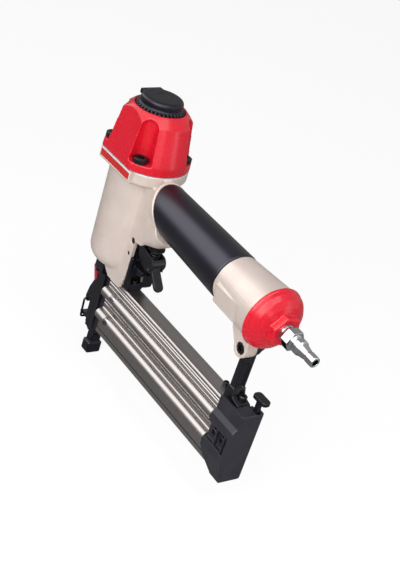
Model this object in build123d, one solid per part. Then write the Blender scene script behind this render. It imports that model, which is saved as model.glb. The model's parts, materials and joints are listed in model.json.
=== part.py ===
from build123d import *
import math
import os

# Pneumatic brad nailer, millimetres. The origin is on the drive axis at the work face of the
# no-mar tip. +Z runs up the drive axis, +X runs back along the handle to the air plug, and +Y is
# the user's right.

# Housing, flange and cylinder
HOUSING_TOP_R = 25.0
HOUSING_LOW_R = 23.5
HOUSING_BOTTOM = 86.3
HOUSING_ROUND = 16.5
FLANGE_R = 34.4
FLANGE_FLAT = 28.3
FLANGE_FRONT = 28.8
FLANGE_BOTTOM = 172.2
FLANGE_TOP = 180.5
PLATE_REAR = 23.4
SLEEVE_BORE = 18.05
SLEEVE_R = 20.9
SLEEVE_BOTTOM = 104.0
SLEEVE_TOP = 178.0
BUMPER_R = 14.8
BUMPER_BOTTOM = 91.0
STROKE = 60.0

# Cylinder cap and its screws
CAP_BOTTOM = 181.0
CAP_SEAT = 187.4
CAP_TOP = 223.0
CAP_RIM_R = 20.6
CAP_SHOULDER = 215.5
CAP_SHOULDER_R = 28.2
CAP_TOP_INSET = 8.4
CAP_FLAT_OUT = 2.4
CAP_RECESS = 220.0
CAP_CAVITY_R = 20.4
CAP_CAVITY_TOP = 197.0
SCREW_SQUARE = 20.0
CHANNEL_R = 6.7
CHANNEL_TOP = 215.0
CHANNEL_FLARE = 28.0
CAP_SCREW_HEAD_R = 5.8
DEFLECTOR_R = 16.4
SKIRT_R = 18.9
DEFLECTOR_TOP = 231.0

# Handle, grip and rear head, on an axis that falls slightly to the rear
HANDLE_TILT = 2.2
HANDLE_AXIS_Z = 162.4
HANDLE_TUBE_R = 16.2
HANDLE_BORE_R = 13.0
WEB_BORE_R = 8.0
GRIP_END = 134.0
GRIP_FRONT_R = 17.0
GRIP_REAR_R = 19.6
LIP_RISE = 0.4
LIP_DEPTH = 1.8
HEAD_FRONT = 134.5
HEAD_FRONT_R = 19.2
HEAD_REAR_R = 22.7
PAD_FRONT = 139.5
PAD_REAR = 165.0
PAD_TILT = 7.9
PAD_REACH = 20.9
HEAD_END = 178.0
INLET_FLANGE_R = 24.0
INLET_SPIGOT_R = 18.9
INLET_HEX = 10.6

# Trigger group
TAIL_WIDTH = 22.0
TAIL_REAR = 30.0
SLOT_WIDTH = 15.2
TRIGGER_PIVOT = (27.2, 123.4)
TRIGGER_PIN_R = 2.5
TRIGGER_WIDTH = 12.6
VALVE_X = 44.0
VALVE_R = 5.5
VALVE_SEAT = 126.9
SAFETY_PIVOT = (48.6, 110.6)
BRACKET_PIN = (26.1, 111.7)
BRACKET_PIN_R = 1.5
BRACKET_SCREW_X = 29.9

# Nose and jam-clearing door
GUIDE_HALF_X = 4.5
GUIDE_WIDTH = 18.0
GUIDE_BLOCK_BOTTOM = 76.4
NECK_BOTTOM = 2.2
NECK_R = 2.6
TIP_SHOULDER = 10.2
GUIDE_SCREW_X = -8.8
GUIDE_SCREW_YS = (-7.4, 7.4)
DOOR_HINGE = (-7.2, 73.4)
HINGE_LUG_R = 2.3
LATCH_PIVOT = (-12.0, 43.5)
BAIL_PIVOT = (-17.6, 40.0)
BAIL_BAR = (-16.5, 23.2)
BAIL_WIRE_R = 0.9

# Magazine
MAG_TOP = 80.0
MAG_BOTTOM = 25.9
MAG_HALF = 7.4
MAG_FRONT = 9.5
MAG_REAR = 184.0
SLIDE_REAR = 188.0
NAIL_GAP = 0.8
RIDGE_R = 4.7
RIDGE_Y = -8.6
RIDGE_ZS = (66.0, 45.0)
RIDGE_GAP = (21.8, 28.2)
ROD_R = 2.5
SLIDE_TOP = 70.9
SLIDE_BOTTOM = 31.5
RAIL_IN = -3.0
RAIL_OUT = -5.3
RAIL_TOP = 73.6
SLIDE_FRONT = 9.9

# Rear strut and magazine end cap
STRUT_FRONT = 168.3
STRUT_REAR = 173.7
LUG_X = 170.2
LUG_Z = 125.1
STRUT_SCREW = (177.8, 2.2)
FRONT_SCREW = (156.2, 4.1)
END_CAP_FRONT = 168.5
END_CAP_REAR = 195.5
END_CAP_TOP = 84.0
END_CAP_HALF = 10.0
END_CAP_LEFT = -13.3
END_SCREW_XS = (175.5, 185.2)
END_SCREW_Z = 56.0
POCKET_FLOOR = -9.6
POCKETS = ((167.5, 179.4), (181.0, 188.6))
LEVER_PIN = (191.3, 74.5)

# Clearances
FIT = 0.05
SLIDE_GAP = 0.2
CHANNEL_GAP = 0.3
LOWER_GAP = 0.7
GRIP_GAP = 0.5

os.makedirs("parts", exist_ok=True)


def save(node, shape):
    """Write one named piece."""
    export_step(shape, f"parts/{node}.step")


def block(x0, x1, y0, y1, z0, z1):
    """A box between two corners."""
    middle = Pos((x0 + x1) / 2, (y0 + y1) / 2, (z0 + z1) / 2)
    return middle * Box(x1 - x0, y1 - y0, z1 - z0)


def post(x, y, z0, z1, r):
    """A round bar along Z."""
    return Pos(x, y, (z0 + z1) / 2) * Cylinder(r, z1 - z0)


def cross_bar(x, z, y0, y1, r):
    """A round bar along Y."""
    return Pos(x, (y0 + y1) / 2, z) * Rot(90, 0, 0) * Cylinder(r, y1 - y0)


def long_bar(y, z, x0, x1, r):
    """A round bar along X."""
    return Pos((x0 + x1) / 2, y, z) * Rot(0, 90, 0) * Cylinder(r, x1 - x0)


def side_plate(outline, y0, y1):
    """A plate from an outline of (x, z) points, between two values of y."""
    corners = [(x, y0, z) for x, z in outline]
    return extrude(make_face(Polyline(*corners, close=True)), amount=y1 - y0, dir=(0, 1, 0))


def extrusion(outline, x0, x1):
    """A run along X from an outline of (y, z) points."""
    corners = [(x0, y, z) for y, z in outline]
    return extrude(make_face(Polyline(*corners, close=True)), amount=x1 - x0, dir=(1, 0, 0))


def turned(outline):
    """A round body about the drive axis from (radius, z) points."""
    corners = [(r, 0, z) for r, z in outline]
    return revolve(make_face(Polyline(*corners, close=True)), Axis.Z)


def turned_on_handle(outline):
    """A round body about the handle axis from (distance along it, radius) points."""
    corners = [(x, 0, r) for x, r in outline]
    return HANDLE * revolve(make_face(Polyline(*corners, close=True)), Axis.X)


def socket_screw(head_r, head_h, shank_r, length):
    """A socket-head screw on Z: the head sits on z = 0 and the shank runs down."""
    head = chamfer(post(0, 0, 0, head_h, head_r).edges().group_by(Axis.Z)[-1], head_h * 0.1)
    hexagon = extrude(Pos(0, 0, head_h) * RegularPolygon(head_r * 0.55, 6), amount=-head_h * 0.55)
    return head - hexagon + post(0, 0, -length, 0, shank_r)


def ring(r, wire_r, z):
    """A round seal about the drive axis."""
    return Pos(0, 0, z) * Torus(r, wire_r)


def biarc(start, start_way, end, end_way):
    """Two arcs that leave one point along start_way and reach another along end_way."""
    span = end - start
    ways = start_way + end_way
    a = 2 * (1 - start_way.dot(end_way))
    b = 2 * span.dot(ways)
    reach = (math.sqrt(b * b + 4 * a * span.dot(span)) - b) / (2 * a)
    first_corner = start + start_way * reach
    last_corner = end - end_way * reach
    middle = (first_corner + last_corner) * 0.5
    middle_way = (last_corner - first_corner).normalized()
    return [TangentArc(start, middle, tangent=start_way), TangentArc(middle, end, tangent=middle_way)]


def coil_spring(x, y, z0, z1, r, wire_r, turns):
    """A coil on Z as one tube, swept on a biarc for each quarter turn, with a printed least gap."""
    rise = (z1 - z0 - 2 * wire_r) / turns
    climb = rise / (2 * math.pi)
    angles = [math.pi * i / 2 for i in range(4 * turns + 1)]
    spots = [Vector(x + r * math.cos(a), y + r * math.sin(a), z0 + wire_r + climb * a) for a in angles]
    ways = [Vector(-r * math.sin(a), r * math.cos(a), climb).normalized() for a in angles]
    arcs = []
    for i in range(4 * turns):
        arcs += biarc(spots[i], ways[i], spots[i + 1], ways[i + 1])
    samples = [arc @ (i / 6) for arc in arcs for i in range(6)]
    half_turn = 24
    gaps = [
        (samples[i] - samples[j]).length - 2 * wire_r
        for i in range(len(samples))
        for j in range(i + half_turn, len(samples))
    ]
    print(f"coil spring: {turns} turns, least gap to itself {min(gaps):.2f} mm")
    section = Plane(origin=spots[0], z_dir=ways[0]) * Circle(wire_r)
    return sweep(section, path=Wire(arcs))


HANDLE = Pos(0, 0, HANDLE_AXIS_Z) * Rot(0, HANDLE_TILT, 0)
HALF_SLOT = SLOT_WIDTH / 2
HALF_TAIL = TAIL_WIDTH / 2
SCREW_SPOTS = [(sx * SCREW_SQUARE, sy * SCREW_SQUARE) for sx in (-1, 1) for sy in (-1, 1)]


def flange_outline(inset, z, more_at_flats=0):
    """The outline of the flange: round, with flats at both sides and in front."""
    reach = FLANGE_R - inset
    front = FLANGE_FRONT - inset
    side = FLANGE_FLAT - inset + more_at_flats
    flats = Pos((reach - front) / 2, 0) * Rectangle(reach + front, 2 * side)
    return Pos(0, 0, z) * (Circle(reach) & flats)


def flange_step(inset0, z0, inset1, z1, more_at_flats=0):
    """A straight-sided step between two such outlines."""
    return loft([flange_outline(inset0, z0), flange_outline(inset1, z1, more_at_flats)], ruled=True)


def housing_shape(grow):
    """The tapered cylinder housing with its bowl-shaped bottom, grown by a little for clearance."""
    bottom = HOUSING_BOTTOM - grow
    top = FLANGE_BOTTOM + 1
    can = turned([(0, bottom), (HOUSING_LOW_R + grow, bottom), (HOUSING_TOP_R + grow, top), (0, top)])
    return fillet(can.edges().filter_by(GeomType.CIRCLE).group_by(Axis.Z)[0], HOUSING_ROUND)


# Body casting: housing, flange, tail for the trigger, handle tube, rear head and hanger lug
def oblong(x, width, z0, z1, corner):
    """A rounded section of the handle root, square to X."""
    plane = Plane(origin=(x, 0, (z0 + z1) / 2), x_dir=(0, 1, 0), z_dir=(1, 0, 0))
    return plane * RectangleRounded(width, z1 - z0, corner)


# The grip's front edge is a slanted cut from high at the front to low at the rear
CUT_HIGH = (21.2, 202.4)
CUT_LOW = (77.3, 116.6)
front_of_cut = side_plate([CUT_HIGH, CUT_LOW, (-60, CUT_LOW[1]), (-60, CUT_HIGH[1])], -40, 40)
# The web behind the housing is flat, and from its rear edge it swells into the round handle
WEB_REAR = 38.0
ROOT_END = 66.0
ROOT_END_R = 17.9
root_axis_z = HANDLE_AXIS_Z - ROOT_END * math.sin(math.radians(HANDLE_TILT))
handle_root = loft(
    [
        oblong(WEB_REAR - 1, TAIL_WIDTH, 124.9, 176, 6),
        oblong(52, 31, 131, 179, 12),
        Pos(0, 0, root_axis_z) * oblong(ROOT_END, 2 * ROOT_END_R, -ROOT_END_R, ROOT_END_R, ROOT_END_R - 0.1),
    ],
    ruled=True,
)
# A thin lip of the casting stands a little above the grip all along that cut
lip_outline = [(20, 0), (20, GRIP_FRONT_R + LIP_RISE), (GRIP_END, GRIP_REAR_R + LIP_RISE), (GRIP_END, 0)]
tail = side_plate(
    [
        (0, FLANGE_BOTTOM), (WEB_REAR, FLANGE_BOTTOM), (WEB_REAR, 125.1), (TAIL_REAR, 123.9), (TAIL_REAR, 90),
        (26, MAG_TOP), (9, MAG_TOP), (0, HOUSING_BOTTOM),
    ],
    -HALF_TAIL, HALF_TAIL,
)
lug = cross_bar(LUG_X, LUG_Z, -10, 0, 7)
lug += side_plate([(163.2, LUG_Z), (177.2, LUG_Z), (175, 146), (152, 146), (156.5, 134)], -10, 0)

# The rear head is a cone with a flat pad low on each side
head_outline = [(HEAD_FRONT, 0), (HEAD_FRONT, HEAD_FRONT_R), (HEAD_END, HEAD_REAR_R), (HEAD_END, 0)]
rear_head = turned_on_handle(head_outline)
for side in (-1, 1):
    pad_place = HANDLE * Rot(-PAD_TILT * side, 0, 0)
    near, far = sorted((0, PAD_REACH * side))
    rear_head += pad_place * block(PAD_FRONT, PAD_REAR, near, far, -10, 5.3)
    near, far = sorted((PAD_REACH * side, (PAD_REACH + 6) * side))
    rear_head -= pad_place * block(PAD_FRONT, PAD_REAR + 1.5, near, far, -16, 12)

casting = housing_shape(0) + tail
casting += flange_step(0, FLANGE_BOTTOM, 0, FLANGE_TOP) + flange_step(8, FLANGE_BOTTOM - 5, 0, FLANGE_BOTTOM)
casting += block(0, PLATE_REAR + 0.6, -FLANGE_FLAT, 0, FLANGE_BOTTOM, FLANGE_TOP)
casting += handle_root & front_of_cut
casting += (turned_on_handle(lip_outline) & front_of_cut) - Pos(-LIP_DEPTH, 0, 0) * front_of_cut
casting += turned_on_handle([(40, 0), (40, HANDLE_TUBE_R), (HEAD_FRONT, HANDLE_TUBE_R), (HEAD_FRONT, 0)])
casting += rear_head + lug
casting -= post(0, 0, SLEEVE_BOTTOM, FLANGE_TOP + 1, SLEEVE_R + FIT)
casting -= post(0, 0, BUMPER_BOTTOM, SLEEVE_BOTTOM + 1, BUMPER_R + FIT)
casting -= post(0, 0, HOUSING_BOTTOM - 1, BUMPER_BOTTOM + 1, 4.5)
casting -= turned_on_handle(
    [(19, 0), (19, WEB_BORE_R), (48, WEB_BORE_R), (53, HANDLE_BORE_R), (166, HANDLE_BORE_R), (166, 0)]
)
spigot_bore_r = INLET_SPIGOT_R + FIT
head_mouth = HEAD_END + 1
casting -= turned_on_handle([(166, 0), (166, spigot_bore_r), (head_mouth, spigot_bore_r), (head_mouth, 0)])
casting -= block(22.7, TAIL_REAR + 3, -HALF_SLOT, HALF_SLOT, 78, 129.5)
casting -= block(TAIL_REAR, 58, -HALF_SLOT, HALF_SLOT, 110, VALVE_SEAT)
casting -= block(-1, 24, -HALF_SLOT, HALF_SLOT, 78, HOUSING_BOTTOM)
casting -= post(VALVE_X, 0, 120, 152, VALVE_R + FIT)
casting -= cross_bar(*TRIGGER_PIVOT, -20, 20, TRIGGER_PIN_R + FIT)
casting -= cross_bar(*BRACKET_PIN, -20, 20, BRACKET_PIN_R + FIT)
casting -= cross_bar(LUG_X, LUG_Z, -12, 2, 2.6) + cross_bar(LUG_X, LUG_Z, -12, -5.5, 4.5)
for x, y in SCREW_SPOTS:
    casting -= post(x, y, FLANGE_BOTTOM + 0.3, FLANGE_TOP + 1, 3.0 + FIT)
for y in GUIDE_SCREW_YS:
    casting -= post(GUIDE_SCREW_X, y, 84, 90.6, 1.6 + FIT)
save("body_casting", casting)

# Rubber grip sleeve over the handle tube
grip_bore = HANDLE_TUBE_R + FIT
grip_outline = [
    (20, grip_bore), (20, GRIP_FRONT_R), (GRIP_END - 0.8, GRIP_REAR_R), (GRIP_END, GRIP_REAR_R - 0.6),
    (GRIP_END, grip_bore),
]
save("grip", turned_on_handle(grip_outline) - Pos(GRIP_GAP, 0, 0) * front_of_cut)

# Plate on the flange's left flat
save("label_plate", block(-18.5, PLATE_REAR, -FLANGE_FLAT - 0.4, -FLANGE_FLAT, 173.6, 180.0))

# Cylinder sleeve with its return ports and two seals, and the bumper that stops the piston
liner = post(0, 0, SLEEVE_BOTTOM, SLEEVE_TOP, SLEEVE_R)
liner -= post(0, 0, SLEEVE_BOTTOM - 1, SLEEVE_TOP + 1, SLEEVE_BORE)
for i in range(8):
    liner -= Rot(0, 0, 45 * i) * long_bar(0, 116, 15, 25, 1.2)
seal_grooves = [SLEEVE_BOTTOM + 4, SLEEVE_TOP - 4]
for z in seal_grooves:
    liner -= turned([(19.3, z - 1), (22, z - 1), (22, z + 1), (19.3, z + 1)])
save("cylinder_sleeve", liner)
save("cylinder_seals", Compound([ring(20.1, 0.75, z) for z in seal_grooves]))
bumper = turned(
    [(5, BUMPER_BOTTOM), (BUMPER_R, BUMPER_BOTTOM), (BUMPER_R, 100), (12.5, 105.6), (7.5, 105.6), (5, 103)]
)
save("bumper", bumper)

# Piston, its ring and the driver blade
PISTON_BOTTOM = SLEEVE_TOP - 12
PISTON_TOP = PISTON_BOTTOM + 9
piston = post(0, 0, PISTON_BOTTOM, PISTON_TOP, SLEEVE_BORE - 0.35)
RING_BOTTOM = PISTON_BOTTOM + 3.2
RING_TOP = RING_BOTTOM + 2.8
RING_GROOVE = (RING_BOTTOM - 0.2, RING_TOP + 0.2)
piston -= post(0, 0, *RING_GROOVE, 20) - post(0, 0, *RING_GROOVE, 16)
piston += post(0, 0, PISTON_BOTTOM - 10, PISTON_BOTTOM, 3.2)
piston -= block(-0.7, 0.7, -1.3, 1.3, PISTON_BOTTOM - 11, PISTON_BOTTOM - 2)
save("piston", piston)
ring_r = SLEEVE_BORE - FIT
save("piston_ring", post(0, 0, RING_BOTTOM, RING_TOP, ring_r) - post(0, 0, RING_BOTTOM, RING_TOP, 16.2))
save("driver_blade", block(-0.65, 0.65, -1.25, 1.25, STROKE + 0.3, PISTON_BOTTOM - 2))

# Cap gasket and cylinder cap with four screw channels that open to its corners and flare on both sides
gasket = flange_step(0.6, FLANGE_TOP, 0.6, CAP_BOTTOM)
gasket -= post(0, 0, FLANGE_TOP - 1, CAP_BOTTOM + 1, SLEEVE_R + 0.3)
cap = flange_step(0, CAP_BOTTOM, 0.3, CAP_SEAT)
cap += flange_step(0.3, CAP_SEAT, CAP_TOP_INSET, CAP_TOP, CAP_FLAT_OUT)
shoulder_slope = (CAP_SHOULDER_R - CAP_RIM_R) / (CAP_TOP - CAP_SHOULDER)
cone_bottom = CAP_TOP - (FLANGE_R + 1 - CAP_RIM_R) / shoulder_slope
cone_r = FLANGE_R + 1
cap &= turned(
    [(0, CAP_BOTTOM), (cone_r, CAP_BOTTOM), (cone_r, cone_bottom), (CAP_RIM_R, CAP_TOP), (0, CAP_TOP)]
)
for x, y in SCREW_SPOTS:
    cap -= post(x, y, CAP_SEAT, CHANNEL_TOP, CHANNEL_R) + Pos(x, y, CHANNEL_TOP) * Sphere(CHANNEL_R)
    open_corner = block(0, 12, -CHANNEL_R, CHANNEL_R, CAP_SEAT, CHANNEL_TOP)
    for flare in (-CHANNEL_FLARE, 0, CHANNEL_FLARE):
        cap -= Pos(x, y, 0) * Rot(0, 0, math.degrees(math.atan2(y, x)) + flare) * open_corner
    cap -= post(x, y, CAP_BOTTOM - 1, CAP_SEAT + 1, 3.2)
    gasket -= post(x, y, FLANGE_TOP - 1, CAP_BOTTOM + 1, 3.2)
cap -= post(0, 0, CAP_BOTTOM - 1, CAP_CAVITY_TOP, CAP_CAVITY_R)
cap -= post(0, 0, CAP_RECESS, CAP_TOP + 1, SKIRT_R + 0.6)
cap -= post(0, 0, 204, CAP_TOP, 2.5 + FIT)
for i in range(6):
    cap -= Rot(0, 0, 60 * i + 30) * post(10, 0, CAP_CAVITY_TOP - 1, CAP_TOP, 2.6)
save("cap_gasket", gasket)
save("cylinder_cap", cap)
cap_screw = socket_screw(CAP_SCREW_HEAD_R, 3.8, 3.0, CAP_SEAT - FLANGE_BOTTOM - 1)
save("cap_screws", Compound([Pos(x, y, CAP_SEAT) * cap_screw for x, y in SCREW_SPOTS]))

# Head valve under the cap, with its seal and spring
HEAD_VALVE_BOTTOM = SLEEVE_TOP + 0.4
head_valve = post(0, 0, HEAD_VALVE_BOTTOM + 3, HEAD_VALVE_BOTTOM + 10, CAP_CAVITY_R - 0.08)
head_valve += post(0, 0, HEAD_VALVE_BOTTOM, HEAD_VALVE_BOTTOM + 3.5, SLEEVE_BORE + 1)
groove = HEAD_VALVE_BOTTOM + 6
head_valve -= turned([(18.4, groove), (21, groove), (21, groove + 2.2), (18.4, groove + 2.2)])
head_valve -= post(0, 0, HEAD_VALVE_BOTTOM + 5, HEAD_VALVE_BOTTOM + 11, 13)
save("head_valve_piston", head_valve)
save("head_valve_seal", ring(19.35, 0.9, groove + 1.1))
valve_spring = post(0, 0, HEAD_VALVE_BOTTOM + 5, CAP_CAVITY_TOP, 11.5)
valve_spring -= post(0, 0, HEAD_VALVE_BOTTOM + 4, CAP_CAVITY_TOP + 1, 9.5)
save("head_valve_spring", valve_spring)

# Exhaust deflector with a slotted skirt and a hooded mouth, which turns on its screw under a plug
DEFLECTOR_BOTTOM = CAP_RECESS + 0.3
SKIRT_TOP = DEFLECTOR_BOTTOM + 2.7
SKIRT_SLOTS = 36
HOOD_TURN = 6.0
HOOD_BOTTOM = DEFLECTOR_TOP - 4.0
deflector = turned(
    [
        (0, DEFLECTOR_BOTTOM), (SKIRT_R, DEFLECTOR_BOTTOM), (SKIRT_R, SKIRT_TOP),
        (DEFLECTOR_R, SKIRT_TOP + 2), (DEFLECTOR_R, DEFLECTOR_TOP), (0, DEFLECTOR_TOP),
    ]
)
deflector = fillet(deflector.edges().filter_by(GeomType.CIRCLE).group_by(Axis.Z)[-1], 3.0)
deflector += Rot(0, 0, HOOD_TURN) * block(-15.8, -6, -9.6, 9.6, HOOD_BOTTOM, DEFLECTOR_TOP - 0.2)
chamber = post(0, 0, DEFLECTOR_BOTTOM - 1, DEFLECTOR_TOP - 6, 14.2)
deflector -= chamber - post(0, 0, DEFLECTOR_BOTTOM, DEFLECTOR_TOP, 5)
deflector -= Rot(0, 0, HOOD_TURN) * block(-20, -13, -7.2, 7.2, SKIRT_TOP + 0.6, HOOD_BOTTOM)
for i in range(SKIRT_SLOTS):
    slot = block(17, 20, -0.7, 0.7, DEFLECTOR_BOTTOM - 1, SKIRT_TOP + 2)
    deflector -= Rot(0, 0, 360 / SKIRT_SLOTS * i) * slot
deflector -= post(0, 0, DEFLECTOR_BOTTOM - 1, DEFLECTOR_TOP, 2.5 + 0.08)
deflector -= post(0, 0, DEFLECTOR_TOP - 5.5, DEFLECTOR_TOP + 1, 5.2)
save("exhaust_deflector", deflector)
save("deflector_screw", Pos(0, 0, DEFLECTOR_TOP - 5.2) * socket_screw(4.5, 3.2, 2.5, 21.5))
save("deflector_plug", post(0, 0, DEFLECTOR_TOP - 1.6, DEFLECTOR_TOP - 0.3, 5.2 - FIT))

# Air inlet cap with its seal, and the quick-connect air plug
inlet_profile = [
    (167, 0), (167, INLET_SPIGOT_R), (HEAD_END + 0.1, INLET_SPIGOT_R), (HEAD_END + 0.1, INLET_FLANGE_R),
    (179.8, INLET_FLANGE_R), (180.2, 23.3), (183.2, 22.9), (186.8, 20.2), (189.4, 16), (190.6, 12),
    (190.6, 0),
]
inlet_cap = turned_on_handle(inlet_profile)
hex_nut = Plane.YZ.offset(187) * RegularPolygon(INLET_HEX, 6, major_radius=False, rotation=-15)
inlet_cap += HANDLE * chamfer(extrude(hex_nut, amount=9).edges().group_by(Axis.X)[-1], 0.6)
inlet_cap -= turned_on_handle([(170.5, 17), (170.5, 20), (173, 20), (173, 17)])
inlet_cap -= turned_on_handle([(160, 0), (160, 11), (180, 11), (184, 6.2 + FIT), (197, 6.2 + FIT), (197, 0)])
save("air_inlet_cap", inlet_cap)
save("inlet_cap_seal", HANDLE * Pos(171.75, 0, 0) * Rot(0, 90, 0) * Torus(17.95, 0.9))
plug_profile = [
    (184.5, 2.4), (184.5, 6.2), (196.2, 6.2), (196.2, 5.4), (206.4, 5.4), (207.2, 4.6), (208.6, 4.6),
    (209.4, 5.8), (213, 5.8), (213.8, 5.1), (220.6, 3.7), (221.5, 4.1), (227.6, 4.1), (228.2, 3.5),
    (228.2, 2.4),
]
plug_hex = Plane.YZ.offset(199.4) * (RegularPolygon(7.0, 6, major_radius=False) - Circle(5))
air_plug = turned_on_handle(plug_profile) + HANDLE * extrude(plug_hex, amount=6.6)
save("air_plug", air_plug)

# Trigger valve: body, stem and the spring that shows above the trigger
STEM_BOTTOM = 114.9
valve_body = post(VALVE_X, 0, VALVE_SEAT, 150, VALVE_R) + post(VALVE_X, 0, VALVE_SEAT - 1.5, VALVE_SEAT, 6.6)
valve_body -= post(VALVE_X, 0, 120, 151, 2.06) + post(VALVE_X, 0, 130, 151, 3.4)
save("trigger_valve_body", valve_body)
save("valve_stem", post(VALVE_X, 0, STEM_BOTTOM, 131, 2.0) + post(VALVE_X, 0, 131, 140, 3.0))
save("trigger_spring", coil_spring(VALVE_X, 0, 114.75, 125.2, 3.6, 0.5, 5))

# Trigger: two cheeks, a finger face and a floor for the spring
HALF_TRIGGER = TRIGGER_WIDTH / 2
cheek_outline = [
    (27.2, 127.2), (38, 122.8), (48, 120.8), (51.6, 108.8), (46, 107.6), (38, 109.6), (28.2, 119.5),
]
trigger = side_plate(cheek_outline, -HALF_TRIGGER, HALF_TRIGGER)
trigger += cross_bar(*TRIGGER_PIVOT, -HALF_TRIGGER, HALF_TRIGGER, 3.9)
trigger += cross_bar(46.6, 114.8, -HALF_TRIGGER, HALF_TRIGGER, 6.3)
trigger -= block(33.5, 50.2, -4.6, 4.6, 114.5, 130)
trigger -= block(44.6, 60, -4.6, 4.6, 100, 112.9)
trigger -= cross_bar(*TRIGGER_PIVOT, -10, 10, TRIGGER_PIN_R + 0.06)
trigger -= cross_bar(*SAFETY_PIVOT, -10, 10, 1.0)
save("trigger", trigger)
save("trigger_pin", cross_bar(*TRIGGER_PIVOT, -10.2, 10.2, TRIGGER_PIN_R))

# Safety lever: a round-ended tongue that hangs under the trigger on its own pin
TONGUE_ANGLE = 45.4
TONGUE_LENGTH = 18.4
TONGUE_HALF = 4.1
straight = TONGUE_LENGTH - TONGUE_HALF
tongue_face = Pos(straight / 2, 0) * Rectangle(straight, 2 * TONGUE_HALF)
tongue_face += Pos(straight, 0) * Circle(TONGUE_HALF)
tongue_place = Pos(SAFETY_PIVOT[0], 0, SAFETY_PIVOT[1]) * Rot(0, TONGUE_ANGLE, 0)
tongue = tongue_place * extrude(tongue_face, amount=1.3, both=True)
tongue += cross_bar(*SAFETY_PIVOT, -TONGUE_HALF, TONGUE_HALF, 2.2)
tongue -= cross_bar(*SAFETY_PIVOT, -10, 10, 1.06)
save("safety_lever", tongue)
save("safety_pin", cross_bar(*SAFETY_PIVOT, -HALF_TRIGGER, HALF_TRIGGER, 1.0))

# Bracket behind the housing's tail, which carries the magazine's front end
BRACKET_HALF = HALF_SLOT - SLIDE_GAP
BRACKET_SHELF = 85.5
bracket = side_plate(
    [
        (22.9, MAG_TOP), (32.2, MAG_TOP), (32.2, BRACKET_SHELF), (27.5, BRACKET_SHELF), (27.5, 95.5),
        (36, 97.5), (43.6, 100.5), (45.6, 105), (35, 104.4), (29.3, 106), (29.3, 114), (22.9, 114),
    ],
    -BRACKET_HALF, BRACKET_HALF,
)
cheek = [(30.3, 83.5), (35, 83.5), (35, 88), (34, 92), (34, 110.6), (30.3, 110.6)]
for side in (-1, 1):
    near, far = sorted(((BRACKET_HALF - 0.2) * side, (HALF_TAIL - 0.4) * side))
    bracket += side_plate(cheek, near, far)
hook_outline = [(43, 100), (46.8, 103.4), (46.3, 93), (44.6, 90.8), (41.5, 91.4), (42, 93), (44, 93.6)]
bracket += side_plate(hook_outline, -4, 4)
bracket -= post(BRACKET_SCREW_X, 0, 70, BRACKET_SHELF + 1, 1.6 + FIT)
bracket -= cross_bar(*BRACKET_PIN, -10, 10, BRACKET_PIN_R + FIT)
save("trigger_bracket", bracket)
save("bracket_pin", cross_bar(*BRACKET_PIN, -10.6, 10.6, BRACKET_PIN_R))
save("bracket_screw", Pos(BRACKET_SCREW_X, 0, BRACKET_SHELF) * socket_screw(2.2, 2.4, 1.6, 12))

# Driver guide: the nose block with the blade channel, mounting flange, neck and latch hook
HALF_GUIDE = GUIDE_WIDTH / 2
guide = block(-GUIDE_HALF_X, GUIDE_HALF_X, -HALF_GUIDE, HALF_GUIDE, 24, GUIDE_BLOCK_BOTTOM)
guide += block(GUIDE_HALF_X, MAG_FRONT, -MAG_HALF, MAG_HALF, MAG_BOTTOM, GUIDE_BLOCK_BOTTOM)
guide += block(-GUIDE_HALF_X, 8, -BRACKET_HALF, BRACKET_HALF, GUIDE_BLOCK_BOTTOM, HOUSING_BOTTOM)
guide += block(-11.5, -0.3, -10, 10, GUIDE_BLOCK_BOTTOM, 91) - housing_shape(0.1)
guide += side_plate(
    [
        (-GUIDE_HALF_X, 30), (-10.5, 30), (-20.8, 26.6), (-20.2, 25.2), (-10.5, 25.2), (-10.5, 22.8),
        (-GUIDE_HALF_X, 18.4), (3.5, 18.4), (3.5, 30),
    ],
    -5, 5,
)
for side in (-1, 1):
    near, far = sorted((2.4 * side, 4.6 * side))
    guide += cross_bar(*DOOR_HINGE, near, far, HINGE_LUG_R)
    lug_sides = (DOOR_HINGE[0] - HINGE_LUG_R, DOOR_HINGE[0] + HINGE_LUG_R)
    guide += block(*lug_sides, near, far, DOOR_HINGE[1], GUIDE_BLOCK_BOTTOM + 1)
guide += post(0, 0, NECK_BOTTOM, 25, NECK_R)
guide -= block(-0.75, 0.75, -1.35, 1.35, 0, 92)
guide -= block(0, MAG_FRONT + 1, -0.9, 0.9, SLIDE_BOTTOM, 63)
guide -= cross_bar(*DOOR_HINGE, -8, 8, 1.2)
for y in GUIDE_SCREW_YS:
    guide -= post(GUIDE_SCREW_X, y, 70, 92, 1.6 + FIT)
save("driver_guide", guide)
guide_screw = Rot(180, 0, 0) * socket_screw(2.4, 3.2, 1.6, 14)
guide_screw_spots = [Pos(GUIDE_SCREW_X, y, GUIDE_BLOCK_BOTTOM) for y in GUIDE_SCREW_YS]
save("guide_screws", Compound([spot * guide_screw for spot in guide_screw_spots]))

# Soft no-mar tip pushed over the neck
foot = block(-5.2, 5.2, -6.6, 6.6, 0, TIP_SHOULDER)
foot = chamfer(foot.edges().filter_by(Axis.Z), 1.2)
foot = chamfer(foot.edges().group_by(Axis.Z)[0] + foot.edges().group_by(Axis.Z)[-1], 0.9)
collar = block(-3.9, 3.9, -4.8, 4.8, TIP_SHOULDER - 1, 17.6)
tip = foot + chamfer(collar.edges().filter_by(Axis.Z), 0.9)
tip -= post(0, 0, NECK_BOTTOM, 20, NECK_R + FIT) + post(0, 0, -1, 3, 1.6)
save("no_mar_tip", tip)

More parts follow.
